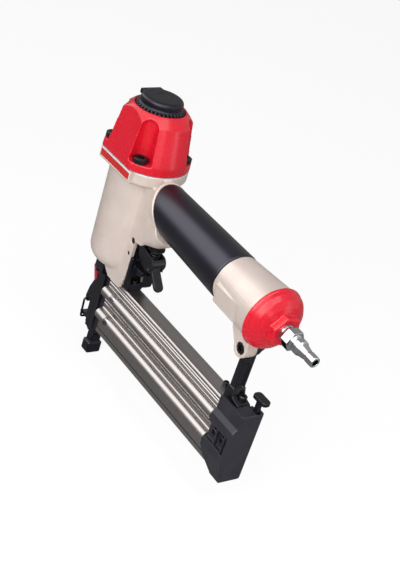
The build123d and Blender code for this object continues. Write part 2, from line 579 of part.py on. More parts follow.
# Jam-clearing door on the front of the nose, hinged at its top
door = block(-9.5, -4.8, -7.5, 7.5, 30.6, 70.8)
door = chamfer(door.edges().group_by(Axis.X)[0], 1.0)
door += block(-8.6, -5.6, -2.2, 2.2, 70, 73.4) + cross_bar(*DOOR_HINGE, -2.2, 2.2, 2.1)
for side in (-1, 1):
    low, high = sorted((4.35 * side, 5.15 * side))
    door += side_plate([(-9, 40), (-9, 47), (-13.4, 45.6), (-14, 43.5), (-13.4, 41.4)], low, high)
door -= cross_bar(*DOOR_HINGE, -8, 8, 1.26)
door -= cross_bar(*LATCH_PIVOT, -8, 8, 1.1)
save("guide_door", door)
save("door_pin", cross_bar(*DOOR_HINGE, -4.6, 4.6, 1.2))
save("latch_pin", cross_bar(*LATCH_PIVOT, -5.15, 5.15, 1.1))

# Latch lever with its red tab, and the wire bail that hooks under the nose
LEVER_HALF = 4.1
lever = side_plate(
    [
        (-10.3, 44.5), (-10.3, 58.6), (-12.2, 61), (-15, 60), (-18.6, 51), (-20.4, 42), (-19.4, 37.6),
        (-16.5, 37.6), (-13, 41.2),
    ],
    -LEVER_HALF, LEVER_HALF,
)
lever += cross_bar(*LATCH_PIVOT, -LEVER_HALF, LEVER_HALF, 2.2)
lever -= cross_bar(*LATCH_PIVOT, -8, 8, 1.16)
lever -= cross_bar(*BAIL_PIVOT, -8, 8, BAIL_WIRE_R + 0.06)
save("latch_lever", lever)
tab_outline = [(-12.2, 61), (-15, 60), (-20.4, 71.4), (-19.2, 73.4), (-16.8, 72.8)]
tab = side_plate(tab_outline, -LEVER_HALF, LEVER_HALF)
save("latch_tab", chamfer(tab.edges().group_by(Axis.Z)[-1], 0.5))
BAIL_ARM = 6.3
bail_points = []
for side in (1, -1):
    arm = [(BAIL_PIVOT[0], 1.6 * side, BAIL_PIVOT[1]), (BAIL_PIVOT[0], BAIL_ARM * side, BAIL_PIVOT[1])]
    arm.append((BAIL_BAR[0], BAIL_ARM * side, BAIL_BAR[1]))
    bail_points += arm[::side]
bail_path = FilletPolyline(*bail_points, radius=1.6)
bail_section = Plane(origin=bail_path @ 0, z_dir=bail_path % 0) * Circle(BAIL_WIRE_R)
save("latch_bail", sweep(bail_section, bail_path))

# Fixed magazine: a channel with its open side to the left, and the slide that runs inside it
slot_low = SLIDE_BOTTOM - LOWER_GAP
slot_high = SLIDE_TOP + CHANNEL_GAP
channel = extrusion(
    [
        (-MAG_HALF, MAG_TOP - 1), (-MAG_HALF + 1, MAG_TOP), (MAG_HALF - 1, MAG_TOP), (MAG_HALF, MAG_TOP - 1),
        (MAG_HALF, MAG_BOTTOM + 1), (MAG_HALF - 1, MAG_BOTTOM), (-MAG_HALF + 1, MAG_BOTTOM),
        (-MAG_HALF, MAG_BOTTOM + 1), (-MAG_HALF, slot_low), (NAIL_GAP, slot_low), (NAIL_GAP, slot_high),
        (RAIL_IN + SLIDE_GAP, slot_high), (RAIL_IN + SLIDE_GAP, RAIL_TOP + CHANNEL_GAP),
        (RAIL_OUT - SLIDE_GAP, RAIL_TOP + CHANNEL_GAP), (RAIL_OUT - SLIDE_GAP, slot_high),
        (-MAG_HALF, slot_high),
    ],
    MAG_FRONT, MAG_REAR,
)
CHANNEL_WALL = 2.0
under_half = MAG_HALF - CHANNEL_WALL
under_top = slot_low - CHANNEL_WALL
channel -= block(MAG_FRONT - 1, MAG_REAR + 1, -under_half, under_half, MAG_BOTTOM - 1, under_top)
for z in (74.6, 76.8):
    channel -= block(MAG_FRONT - 1, MAG_REAR + 1, -MAG_HALF - 1, -MAG_HALF + 0.6, z, z + 0.9)
for z in (38, 52, 66):
    channel -= block(MAG_FRONT - 1, MAG_REAR + 1, MAG_HALF - 0.8, MAG_HALF + 1, z, z + 2.4)
channel -= post(BRACKET_SCREW_X, 0, 70, MAG_TOP + 1, 1.6 + FIT)
channel -= post(*STRUT_SCREW, 70, MAG_TOP + 1, 2.0 + FIT)
channel -= post(*FRONT_SCREW, 70, MAG_TOP + 1, 1.6 + FIT)
save("fixed_magazine", channel)

slide = extrusion(
    [
        (-NAIL_GAP, SLIDE_BOTTOM), (-NAIL_GAP, SLIDE_TOP), (RAIL_IN, SLIDE_TOP), (RAIL_IN, RAIL_TOP),
        (RAIL_OUT, RAIL_TOP), (RAIL_OUT, SLIDE_TOP), (-MAG_HALF, SLIDE_TOP), (-MAG_HALF, SLIDE_BOTTOM),
    ],
    SLIDE_FRONT, SLIDE_REAR,
)
for z in RIDGE_ZS:
    slide += long_bar(RIDGE_Y, z, SLIDE_FRONT, END_CAP_FRONT - 0.1, RIDGE_R)
    slide -= block(*RIDGE_GAP, -20, -MAG_HALF, z - 6, z + 6)
for z in RIDGE_ZS:
    slide -= long_bar(RIDGE_Y, z, MAG_FRONT + 1.5, SLIDE_REAR + 1, ROD_R + FIT)
for z in (50.6, 55.4, 58.4):
    slide -= block(MAG_FRONT - 1, SLIDE_REAR + 1, -MAG_HALF - 1, -MAG_HALF + 0.6, z, z + 0.9)
slide -= block(MAG_FRONT - 1, SLIDE_REAR + 1, -4.4, 0, 54.2, 57.8)
slide -= block(MAG_FRONT - 1, SLIDE_REAR + 1, -4.4, -2.8, 52.6, 59.4)
for x in END_SCREW_XS:
    slide -= cross_bar(x, END_SCREW_Z, -8, -4, 1.5 + FIT)
save("magazine_slide", slide)
rods = [long_bar(RIDGE_Y, z, MAG_FRONT + 2, SLIDE_REAR, ROD_R) for z in RIDGE_ZS]
save("tie_rods", Compound(rods))

# Nail pusher in the slot of the slide, with the roll of its flat spring behind it
pusher = block(12, 36, -0.5, 0.5, 33.4, 62)
pusher += block(14, 34, -4.15, -0.5, 54.5, 57.5) + block(14, 34, -4.15, -3.05, 52.9, 59.1)
save("nail_pusher", pusher)
save("pusher_spring", cross_bar(36, 56, -2.6, -0.6, 1.6) - cross_bar(36, 56, -3, 0, 0.6))

# Black end cap on the rear of the slide, open where the strut stands
shell = extrusion(
    [
        (-END_CAP_HALF, END_CAP_TOP), (-END_CAP_HALF, 73), (END_CAP_LEFT, 69.6), (END_CAP_LEFT, 41),
        (-9.2, 24), (8.6, 24), (END_CAP_HALF, 25.4), (END_CAP_HALF, END_CAP_TOP),
    ],
    END_CAP_FRONT, END_CAP_REAR,
)
shell = chamfer(shell.edges().group_by(Axis.X)[-1], 0.8)
low_front = [(END_CAP_FRONT - 1, 41.5), (172.4, 33), (183.4, 24.3), (183.4, 20), (END_CAP_FRONT - 1, 20)]
shell -= side_plate(low_front, -20, 20)
hollow_half = MAG_HALF + SLIDE_GAP
shell -= block(END_CAP_FRONT - 1, SLIDE_REAR + 0.2, -hollow_half, hollow_half, MAG_BOTTOM - 0.4, 90)
shell += block(MAG_REAR + 0.4, SLIDE_REAR + 1, -hollow_half - 0.1, 3.2, MAG_TOP - 4, END_CAP_TOP)
for z in RIDGE_ZS:
    shell -= long_bar(RIDGE_Y, z, END_CAP_FRONT - 1, SLIDE_REAR + 0.2, ROD_R + FIT)
for pocket in POCKETS:
    shell -= block(*pocket, -16, POCKET_FLOOR, 48.2, 62.4)
for x in END_SCREW_XS:
    shell -= cross_bar(x, END_SCREW_Z, -14, -6, 1.5 + FIT)
shell -= block(189.8, 191.8, -16, POCKET_FLOOR - 0.8, 47, 62.4)
shell -= block(END_CAP_FRONT - 1, 186.5, 6, END_CAP_HALF + 1, MAG_TOP - 0.5, END_CAP_TOP + 1)
shell -= block(187.5, 194.8, 3.7, hollow_half, 70, 86)
shell -= cross_bar(*LEVER_PIN, -0.5, 11, 1.2 + FIT)
shell -= cross_bar(*LEVER_PIN, 2.0, 3.8, 2.6)
save("magazine_end_cap", shell)
end_screw = Rot(90, 0, 0) * socket_screw(2.7, 1.8, 1.5, 5.1)
save("end_cap_screws", Compound([Pos(x, POCKET_FLOOR, END_SCREW_Z) * end_screw for x in END_SCREW_XS]))

# Release lever with a T-shaped thumb piece, its pin and its torsion spring
release = side_plate(
    [
        (189.4, 72.6), (193.2, 72.6), (193.4, 84), (192.8, 92.6), (189, 92.6), (189.2, 84), (184.6, 83.6),
        (184.6, 81.4), (189.2, 81),
    ],
    4.0, 7.2,
)
thumb = block(184, 198, 3, 10.4, 92.2, 95.6)
thumb = fillet(thumb.edges().filter_by(Axis.Z), 2.8)
release += fillet(thumb.edges().group_by(Axis.Z)[-1], 0.8)
release -= cross_bar(*LEVER_PIN, 0, 11, 1.26)
save("release_lever", release)
save("release_pin", cross_bar(*LEVER_PIN, 0, 10, 1.2))
save("release_spring", cross_bar(*LEVER_PIN, 2.1, 3.6, 2.4) - cross_bar(*LEVER_PIN, 0, 10, 1.3))

# Rear strut from the hanger lug to the magazine, with its bolt, nut and foot screw. Another screw
# stands in the magazine's top in front of it
strut = block(STRUT_FRONT, STRUT_REAR, -5, 5, MAG_TOP, 117.4)
strut -= block(STRUT_REAR - 1.2, STRUT_REAR + 1, -3.0, 3.0, 92, 114)
strut += block(STRUT_FRONT, STRUT_REAR, 0.2, 5, 112, LUG_Z) + cross_bar(LUG_X, LUG_Z, 0.2, 5, 6.2)
strut += side_plate(
    [(166.4, MAG_TOP), (183.8, MAG_TOP), (183.8, 84), (176, 86), (174, 92), (168, 92), (166.4, 86)],
    -5.8, 5.8,
)
strut -= cross_bar(LUG_X, LUG_Z, -1, 6, 2.5 + FIT)
FOOT_SEAT = 84.6
strut -= post(*STRUT_SCREW, 70, 90, 2.0 + FIT) + post(*STRUT_SCREW, FOOT_SEAT, 92, 3.4)
save("rear_strut", strut)
save("foot_screw", Pos(*STRUT_SCREW, FOOT_SEAT) * socket_screw(3.2, 3.4, 2.0, 10))
save("magazine_screw", Pos(*FRONT_SCREW, MAG_TOP) * socket_screw(2.3, 3.6, 1.6, 7))
save("strut_bolt", Pos(LUG_X, -5.5, LUG_Z) * Rot(90, 0, 0) * socket_screw(4.3, 4.0, 2.5, 14.5))
nut = Plane.XZ.offset(-5.0) * (RegularPolygon(4.0, 6, major_radius=False) - Circle(2.5 + FIT))
save("strut_nut", Pos(LUG_X, 0, LUG_Z) * extrude(nut, amount=-4))
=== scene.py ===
import json
import math

import bmesh
import bpy
from mathutils import Matrix, Vector


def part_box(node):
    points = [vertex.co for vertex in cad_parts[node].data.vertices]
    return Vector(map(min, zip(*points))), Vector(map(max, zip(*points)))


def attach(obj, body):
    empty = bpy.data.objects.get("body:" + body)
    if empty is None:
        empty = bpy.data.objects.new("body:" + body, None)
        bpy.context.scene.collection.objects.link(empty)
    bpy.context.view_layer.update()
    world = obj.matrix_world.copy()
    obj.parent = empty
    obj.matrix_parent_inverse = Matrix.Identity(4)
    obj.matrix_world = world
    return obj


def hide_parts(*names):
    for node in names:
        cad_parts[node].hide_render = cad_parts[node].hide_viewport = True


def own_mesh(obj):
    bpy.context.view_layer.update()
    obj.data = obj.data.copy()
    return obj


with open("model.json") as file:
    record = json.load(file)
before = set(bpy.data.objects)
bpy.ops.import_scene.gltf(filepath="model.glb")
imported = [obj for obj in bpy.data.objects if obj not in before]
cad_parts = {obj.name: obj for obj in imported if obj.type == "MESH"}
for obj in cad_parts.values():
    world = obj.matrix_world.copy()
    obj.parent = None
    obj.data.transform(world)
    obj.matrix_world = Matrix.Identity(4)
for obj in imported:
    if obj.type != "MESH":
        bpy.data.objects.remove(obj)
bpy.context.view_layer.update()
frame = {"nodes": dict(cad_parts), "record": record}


# Body casting
# The frame of the tool: cylinder housing, flange, handle tube and rear head, pressure-cast in
# aluminium as one part, then blasted and sprayed with a champagne metallic lacquer.
def linear(code):
    """An sRGB hex colour as linear RGBA."""
    shares = [int(code[i:i + 2], 16) / 255 for i in (1, 3, 5)]
    return [s / 12.92 if s <= 0.04045 else ((s + 0.055) / 1.055) ** 2.4 for s in shares] + [1.0]


def add(tree, kind, inputs=None, **settings):
    """Adds a node, sets its settings, and fills its inputs with values or with links."""
    made = tree.nodes.new(kind)
    for name, value in settings.items():
        setattr(made, name, value)
    for socket, value in (inputs or {}).items():
        if isinstance(value, bpy.types.NodeSocket):
            tree.links.new(value, made.inputs[socket])
        else:
            made.inputs[socket].default_value = value
    return made


# The places of a colour mix node's sockets, which share their names with those of other kinds of mix.
MIX_SHARE, MIX_UNDER, MIX_OVER, MIX_RESULT = 0, 6, 7, 2


def finish(
    name, shades, patch_mm, grain_mm, depth_mm, roughness, sockets, stretch=(1, 1, 1), edge=None
):
    """A finish in two close shades, with a surface grain that also varies the roughness. Edge gives
    the colour painted on convex corners and how strongly: a painted highlight, which partly stands
    for rubbed wear. Noise mostly lies round a half, so the shades and the roughness are spread over
    its middle."""
    shade_spots = (0.35, 0.65)
    grain_low, grain_high = 0.3, 0.7
    corner_begins, corner_full = 0.57, 0.68
    material = bpy.data.materials.new(name)
    material.use_nodes = True
    tree = material.node_tree
    shader = tree.nodes["Principled BSDF"]
    for socket, value in sockets.items():
        shader.inputs[socket].default_value = value
    place = add(tree, "ShaderNodeTexCoord").outputs["Object"]
    drawn = add(tree, "ShaderNodeMapping", {"Vector": place, "Scale": stretch}).outputs["Vector"]
    patches = add(
        tree, "ShaderNodeTexNoise", {"Vector": drawn, "Scale": 1000 / patch_mm, "Detail": 3.0}
    )
    colour = add(tree, "ShaderNodeValToRGB", {"Fac": patches.outputs[0]})
    for stop, spot, shade in zip(colour.color_ramp.elements, shade_spots, shades):
        stop.position = spot
        stop.color = linear(shade)
    base = colour.outputs["Color"]
    # Convex corners, found by pointiness, are painted lighter: a painted highlight, partly standing
    # for wear.
    if edge:
        corner = add(tree, "ShaderNodeNewGeometry").outputs["Pointiness"]
        painted_edge_light = add(
            tree, "ShaderNodeMapRange",
            {
                "Value": corner, "From Min": corner_begins, "From Max": corner_full,
                "To Min": 0.0, "To Max": edge[1],
            },
        )
        blend = add(
            tree, "ShaderNodeMix",
            {MIX_SHARE: painted_edge_light.outputs[0], MIX_UNDER: base, MIX_OVER: linear(edge[0])}, data_type="RGBA",
        )
        base = blend.outputs[MIX_RESULT]
    tree.links.new(base, shader.inputs["Base Color"])
    grain = add(
        tree, "ShaderNodeTexNoise", {"Vector": drawn, "Scale": 1000 / grain_mm, "Detail": 2.0}
    )
    rough = add(
        tree, "ShaderNodeMapRange",
        {
            "Value": grain.outputs[0], "From Min": grain_low, "From Max": grain_high,
            "To Min": roughness[0], "To Max": roughness[1],
        },
    )
    tree.links.new(rough.outputs[0], shader.inputs["Roughness"])
    bump = add(tree, "ShaderNodeBump", {"Height": grain.outputs[0], "Distance": depth_mm / 1000})
    tree.links.new(bump.outputs[0], shader.inputs["Normal"])
    return material


def plain_mesh(made):
    """Turns an object with live modifiers into a plain mesh with smooth faces."""
    held = bpy.context.evaluated_depsgraph_get()
    mesh = bpy.data.meshes.new_from_object(made.evaluated_get(held))
    made.modifiers.clear()
    made.data = mesh
    mesh.polygons.foreach_set("use_smooth", [True] * len(mesh.polygons))
    return mesh


def merged_copy(node, name, flat_angle=None):
    """A copy of a CAD node with its loose triangles joined, and flat ones merged up to an angle."""
    mesh = frame["nodes"][node].data.copy()
    kept_normals = mesh.attributes.get("custom_normal")
    if kept_normals:
        mesh.attributes.remove(kept_normals)
    same_point = 2e-6
    work = bmesh.new()
    work.from_mesh(mesh)
    bmesh.ops.remove_doubles(work, verts=work.verts, dist=same_point)
    if flat_angle:
        bmesh.ops.dissolve_limit(
            work, angle_limit=flat_angle, verts=work.verts, edges=work.edges
        )
    work.to_mesh(mesh)
    work.free()
    made = bpy.data.objects.new(name, mesh)
    bpy.context.scene.collection.objects.link(made)
    return made


def soft_copy(node, name, material, voxel_mm, passes, keep=1.0):
    """A copy of a CAD node, remeshed finely and smoothed, so that its edges are rounded as cast or
    moulded ones are. Keep is the share of its triangles that stays."""
    made = merged_copy(node, name)
    made.modifiers.new("even", "REMESH").mode = "VOXEL"
    made.modifiers["even"].voxel_size = voxel_mm / 1000
    made.modifiers.new("round", "SMOOTH").factor = 0.5
    made.modifiers["round"].iterations = passes
    if keep < 1:
        made.modifiers.new("thin", "DECIMATE").ratio = keep
    mesh = plain_mesh(made)
    mesh.materials.clear()
    mesh.materials.append(material)
    stand_for(made, node)


def stand_for(made, node):
    """Shows a piece in place of a CAD node, on the node's body, and hides the node."""
    record = frame["record"]
    body = next(b for b, held in record["behaviour"]["bodies"].items() if node in held)
    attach(made, body)
    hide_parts(node)


def dress(material, *nodes):
    """Gives CAD nodes, whose shapes are right as they are, a finish."""
    for node in nodes:
        for held in frame["nodes"][node].material_slots:
            held.material = material


# The lacquer shows a warm pale gold with a satin sheen. Its edges are painted lighter, a painted
# highlight that also stands for the lacquer thinning there. Its flake is about 0.03 mm, too fine to
# show, so the grain is drawn at 0.6 mm.
champagne_lacquer = finish(
    "champagne_metallic_lacquer", ("#DDCDC3", "#E4D5CC"), patch_mm=14, grain_mm=0.6, depth_mm=0.006,
    roughness=(0.34, 0.42), edge=("#F6EFE8", 0.6),
    sockets={"Metallic": 0.15, "Coat Weight": 0.25, "Coat Roughness": 0.12},
)
soft_copy("body_casting", "painted_casting", champagne_lacquer, voxel_mm=0.5, passes=3, keep=0.28)

# Grip
# A moulded rubber sleeve with a slanted front and a low lip round it.
# It is pushed over the handle tube, where its own stretch holds it.
# Rubber from a fine-ground mould is satin, with one broad highlight along its top. The mould's grit
# of about 0.1 mm is too fine to show, so it is drawn at 0.5 mm.
grip_rubber = finish(
    "moulded_grip_rubber", ("#100F16", "#15141D"), patch_mm=30, grain_mm=0.5, depth_mm=0.004,
    roughness=(0.28, 0.34), sockets={"Specular IOR Level": 0.5, "Specular Tint": linear("#F0EEFF")},
)
soft_copy("grip", "rubber_grip", grip_rubber, voxel_mm=0.5, passes=3, keep=0.5)

# Cylinder sleeve, its seals and the bumper
# The sleeve is turned aluminium with a fine lathe grain, sealed in the casting by two nitrile rings.
# The bumper is a moulded nitrile ring that stops the piston.
# Turning leaves a bright grey with fine rings round it. The rings stand 0.1 mm apart and are drawn
# at 0.3 mm.
turned_aluminium = finish(
    "turned_aluminium", ("#B9BABC", "#C6C7C9"), patch_mm=3, grain_mm=0.3, depth_mm=0.004,
    roughness=(0.22, 0.34), sockets={"Metallic": 1.0}, stretch=(0.05, 0.05, 1),
)
# Nitrile is a dead black with a soft sheen. Its grain of about 0.05 mm is drawn at 0.25 mm.
nitrile = finish(
    "nitrile_rubber", ("#131314", "#1A1A1B"), patch_mm=4, grain_mm=0.25, depth_mm=0.006,
    roughness=(0.5, 0.65), sockets={"Specular IOR Level": 0.35},
)
dress(turned_aluminium, "cylinder_sleeve", "piston")
dress(nitrile, "cylinder_seals", "bumper", "head_valve_seal", "inlet_cap_seal", "piston_ring")

# Driver blade
# A hardened steel strip that slides in the nose and drives the brad, screwed into the piston.
# Like the pins, the stem and the pusher it is ground to size.
# Grinding leaves a cool bright grey with short marks about 0.05 mm wide, drawn at 0.25 mm.
ground_steel = finish(
    "ground_steel", ("#8F9092", "#A6A7A9"), patch_mm=2, grain_mm=0.25, depth_mm=0.003,
    roughness=(0.2, 0.35), sockets={"Metallic": 1.0},
)
dress(
    ground_steel, "driver_blade", "deflector_screw", "nail_pusher", "release_pin", "safety_pin",
    "valve_stem",
)

# Head valve with its spring
# The valve is a ring machined from white acetal, which slides in the cap.
# A coil of spring steel behind it presses it on the sleeve.
# Acetal is an even milky white, a little waxy. The cutter leaves a grain of about 0.1 mm, drawn at
# 0.3 mm.
acetal = finish(
    "machined_acetal", ("#D9D7CF", "#E2E0D9"), patch_mm=5, grain_mm=0.3, depth_mm=0.004,
    roughness=(0.35, 0.5), sockets={"IOR": 1.48},
)
dress(acetal, "head_valve_piston")

WIRE_SIDES = 12
STEPS_PER_TURN = 40
COIL_SIZES = ("Radius", "Wire Radius", "Turns", "Height")
coil_tree = bpy.data.node_groups.new("coil_spring", "GeometryNodeTree")
for size in COIL_SIZES:
    coil_tree.interface.new_socket(size, in_out="INPUT", socket_type="NodeSocketFloat")
coil_tree.interface.new_socket("Place", in_out="INPUT", socket_type="NodeSocketVector")
coil_tree.interface.new_socket("Turn", in_out="INPUT", socket_type="NodeSocketVector")
coil_tree.interface.new_socket("Finish", in_out="INPUT", socket_type="NodeSocketMaterial")
coil_tree.interface.new_socket("Geometry", in_out="OUTPUT", socket_type="NodeSocketGeometry")
coil_in = add(coil_tree, "NodeGroupInput").outputs
coil_path = add(
    coil_tree, "GeometryNodeCurveSpiral",
    {
        "Resolution": STEPS_PER_TURN, "Rotations": coil_in["Turns"],
        "Start Radius": coil_in["Radius"], "End Radius": coil_in["Radius"],
        "Height": coil_in["Height"],
    },
)
coil_wire = add(
    coil_tree, "GeometryNodeCurvePrimitiveCircle",
    {"Resolution": WIRE_SIDES, "Radius": coil_in["Wire Radius"]},
)
coil_tube = add(
    coil_tree, "GeometryNodeCurveToMesh",
    {"Curve": coil_path.outputs[0], "Profile Curve": coil_wire.outputs[0], "Fill Caps": True},
)
coil_placed = add(
    coil_tree, "GeometryNodeTransform",
    {
        "Geometry": coil_tube.outputs[0], "Translation": coil_in["Place"],
        "Rotation": coil_in["Turn"],
    },
)
coil_real = add(coil_tree, "GeometryNodeRealizeInstances", {"Geometry": coil_placed.outputs[0]})
coil_shown = add(
    coil_tree, "GeometryNodeSetMaterial",
    {"Geometry": coil_real.outputs[0], "Material": coil_in["Finish"]},
)
add(coil_tree, "NodeGroupOutput", {"Geometry": coil_shown.outputs[0]})


def from_tree(tree, name, points, values):
    """A plain mesh made by a tree on some points, with the tree's inputs set by identifier. Edges
    turned by more than the sharp angle stay hard."""
    sharp_angle = math.radians(35)
    mesh = bpy.data.meshes.new(name)
    mesh.from_pydata(points, [], [])
    made = bpy.data.objects.new(name, mesh)
    bpy.context.scene.collection.objects.link(made)
    grow = made.modifiers.new("grow", "NODES")
    grow.node_group = tree
    for item in tree.interface.items_tree:
        if item.in_out == "INPUT" and item.name in values:
            grow[item.identifier] = values[item.name]
    mesh = plain_mesh(made)
    mesh.set_sharp_from_angle(angle=sharp_angle)
    return made


def coil_spring(node, name, material, radius, wire, turns, height, place, turn=(0.0, 0.0, 0.0)):
    """A coil of wire in place of a CAD spring, sizes in metres. Wire is the wire's own radius."""
    made = from_tree(
        coil_tree, name, [],
        {
            "Radius": radius, "Wire Radius": wire, "Turns": turns,
            "Height": height - 2 * wire, "Place": place, "Turn": turn, "Finish": material,
        },
    )
    stand_for(made, node)
    return made


low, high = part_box("head_valve_spring")
VALVE_WIRE = 0.0009
valve_coil = coil_spring(
    "head_valve_spring", "valve_coil", ground_steel,
    radius=high.x - VALVE_WIRE, wire=VALVE_WIRE, turns=5.0, height=high.z - low.z,
    place=(0, 0, low.z + VALVE_WIRE),
)
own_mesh(valve_coil)

# Gasket and cylinder cap
# The cap is a pressure casting in aluminium with flats on its sides, sprayed with gloss red enamel.
# A thin fibre gasket seals it on the flange.
# Pressed fibre is a matt blue grey with a short, mixed grain of about 0.3 mm.
fibre_gasket = finish(
    "fibre_gasket", ("#7C7E9C", "#8C8EA8"), patch_mm=3, grain_mm=0.3, depth_mm=0.01,
    roughness=(0.6, 0.8), sockets={"Specular IOR Level": 0.3},
)
dress(fibre_gasket, "cap_gasket")
# Sprayed enamel is a deep even red under gloss, with an orange peel about 2 mm across.
red_enamel = finish(
    "red_gloss_enamel", ("#DE182C", "#E41C32"), patch_mm=20, grain_mm=2.0, depth_mm=0.0012,
    roughness=(0.24, 0.30),
    sockets={"Specular IOR Level": 0.3, "Coat Weight": 0.18, "Coat Roughness": 0.06},
)
soft_copy("cylinder_cap", "enamelled_cap", red_enamel, voxel_mm=0.5, passes=14)

# Socket screws of the cap
# Four screws at the corners of the cap, in channels that are open to the outside.
# Their heads are upset from steel wire, with a hexagon socket, and blackened.
# Black oxide keeps the steel's shine under a blue black. Its grain is drawn coarser than it is.
black_oxide = finish(
    "black_oxide_steel", ("#121115", "#1B1A1F"), patch_mm=5, grain_mm=0.4, depth_mm=0.006,
    roughness=(0.26, 0.38), sockets={"Metallic": 0.3, "Specular IOR Level": 0.5},
)
ROUND_SIDES = 40
KEY_SIDES = 6
SIDE_OF_HEAD = 0.86
RIM_OF_HEAD = 0.14
RIM_TAPER = 0.87
KEY_OF_RADIUS = 0.55
KEY_OF_HEIGHT = 1.1
SCREW_SIZES = ("Head Radius", "Head Height", "Shank Radius", "Shank Length")
screw_tree = bpy.data.node_groups.new("socket_screws", "GeometryNodeTree")
screw_tree.interface.new_socket("Geometry", in_out="INPUT", socket_type="NodeSocketGeometry")
for size in SCREW_SIZES:
    screw_tree.interface.new_socket(size, in_out="INPUT", socket_type="NodeSocketFloat")
screw_tree.interface.new_socket("Turn", in_out="INPUT", socket_type="NodeSocketVector")
screw_tree.interface.new_socket("Finish", in_out="INPUT", socket_type="NodeSocketMaterial")
screw_tree.interface.new_socket("Geometry", in_out="OUTPUT", socket_type="NodeSocketGeometry")
screw_in = add(screw_tree, "NodeGroupInput").outputs
shank = add(
    screw_tree, "GeometryNodeMeshCylinder",
    {
        "Vertices": ROUND_SIDES, "Radius": screw_in["Shank Radius"],
        "Depth": screw_in["Shank Length"],
    },
)
half_shank = add(
    screw_tree, "ShaderNodeMath", {0: screw_in["Shank Length"], 1: -0.5}, operation="MULTIPLY"
)
drop = add(screw_tree, "ShaderNodeCombineXYZ", {"Z": half_shank.outputs[0]})
grown = add(
    screw_tree, "GeometryNodeTransform",
    {"Geometry": shank.outputs["Mesh"], "Translation": drop.outputs[0]},
).outputs[0]
top = shank.outputs["Top"]
head_share = add(
    screw_tree, "ShaderNodeMath", {0: screw_in["Head Radius"], 1: screw_in["Shank Radius"]},
    operation="DIVIDE",
)
side_height = add(
    screw_tree, "ShaderNodeMath", {0: screw_in["Head Height"], 1: SIDE_OF_HEAD}, operation="MULTIPLY"
)
rim_height = add(
    screw_tree, "ShaderNodeMath", {0: screw_in["Head Height"], 1: RIM_OF_HEAD}, operation="MULTIPLY"
)
for rise, share in (
    (0.0, head_share.outputs[0]), (side_height.outputs[0], 1.0), (rim_height.outputs[0], RIM_TAPER),
):
    raised = add(
        screw_tree, "GeometryNodeExtrudeMesh",
        {"Mesh": grown, "Selection": top, "Offset Scale": rise, "Individual": False},
    )
    top = raised.outputs["Top"]
    grown = add(
        screw_tree, "GeometryNodeScaleElements",
        {"Geometry": raised.outputs["Mesh"], "Selection": top, "Scale": share},
    ).outputs[0]
key_radius = add(
    screw_tree, "ShaderNodeMath", {0: screw_in["Head Radius"], 1: KEY_OF_RADIUS},
    operation="MULTIPLY",
)
key_depth = add(
    screw_tree, "ShaderNodeMath", {0: screw_in["Head Height"], 1: KEY_OF_HEIGHT},
    operation="MULTIPLY",
)
key = add(
    screw_tree, "GeometryNodeMeshCylinder",
    {"Vertices": KEY_SIDES, "Radius": key_radius.outputs[0], "Depth": key_depth.outputs[0]},
)
key_lift = add(screw_tree, "ShaderNodeCombineXYZ", {"Z": screw_in["Head Height"]})
key_placed = add(
    screw_tree, "GeometryNodeTransform",
    {"Geometry": key.outputs["Mesh"], "Translation": key_lift.outputs[0]},
)
socketed = add(
    screw_tree, "GeometryNodeMeshBoolean", {"Mesh 1": grown, "Mesh 2": key_placed.outputs[0]},
    operation="DIFFERENCE",
)
spots = add(screw_tree, "GeometryNodeMeshToPoints", {"Mesh": screw_in["Geometry"]})
placed = add(
    screw_tree, "GeometryNodeInstanceOnPoints",
    {
        "Points": spots.outputs[0], "Instance": socketed.outputs[0],
        "Rotation": screw_in["Turn"],
    },
)
screw_real = add(screw_tree, "GeometryNodeRealizeInstances", {"Geometry": placed.outputs[0]})
screw_shown = add(
    screw_tree, "GeometryNodeSetMaterial",
    {"Geometry": screw_real.outputs[0], "Material": screw_in["Finish"]},
)
add(screw_tree, "NodeGroupOutput", {"Geometry": screw_shown.outputs[0]})


def screws(node, name, spots, head_r, head_h, shank_r, shank_l, turn=(0.0, 0.0, 0.0)):
    """Socket screws in place of a CAD node, each with its head seated on a spot. Sizes in mm."""
    made = from_tree(
        screw_tree, name, [[c / 1000 for c in spot] for spot in spots],
        {
            "Head Radius": head_r / 1000, "Head Height": head_h / 1000,
            "Shank Radius": shank_r / 1000, "Shank Length": shank_l / 1000,
            "Turn": turn, "Finish": black_oxide,
        },
    )
    stand_for(made, node)


HEAD_DOWN = (math.pi, 0.0, 0.0)
HEAD_LEFT = (math.pi / 2, 0.0, 0.0)
CAP_SCREW_AT = 20.0
CAP_SCREW_SEAT = 187.4
corners = [
    (sx * CAP_SCREW_AT, sy * CAP_SCREW_AT, CAP_SCREW_SEAT) for sx in (-1, 1) for sy in (-1, 1)
]
screws(
    "cap_screws", "cap_socket_screws", corners, head_r=5.8, head_h=3.8, shank_r=3.0, shank_l=14.2
)

# Exhaust deflector and its plug
# A moulded nylon cap with a slotted skirt and a hooded mouth, which turns on a screw.
# A round plug, pressed into its top, covers the screw.
# A spark-eroded mould gives the nylon a blue black with a soft sheen. Its edges are painted a
# little lighter, as a painted highlight. Its grain of about 0.1 mm is drawn at 0.45 mm.
black_nylon = finish(
    "moulded_black_nylon", ("#100F15", "#15141B"), patch_mm=12, grain_mm=0.45, depth_mm=0.004,
    roughness=(0.28, 0.36), sockets={"Specular IOR Level": 0.3, "Specular Tint": linear("#F0EEFF")},
    edge=("#4C4B58", 0.4),
)
soft_copy("exhaust_deflector", "nylon_deflector", black_nylon, voxel_mm=0.32, passes=4)
dress(black_nylon, "deflector_plug")

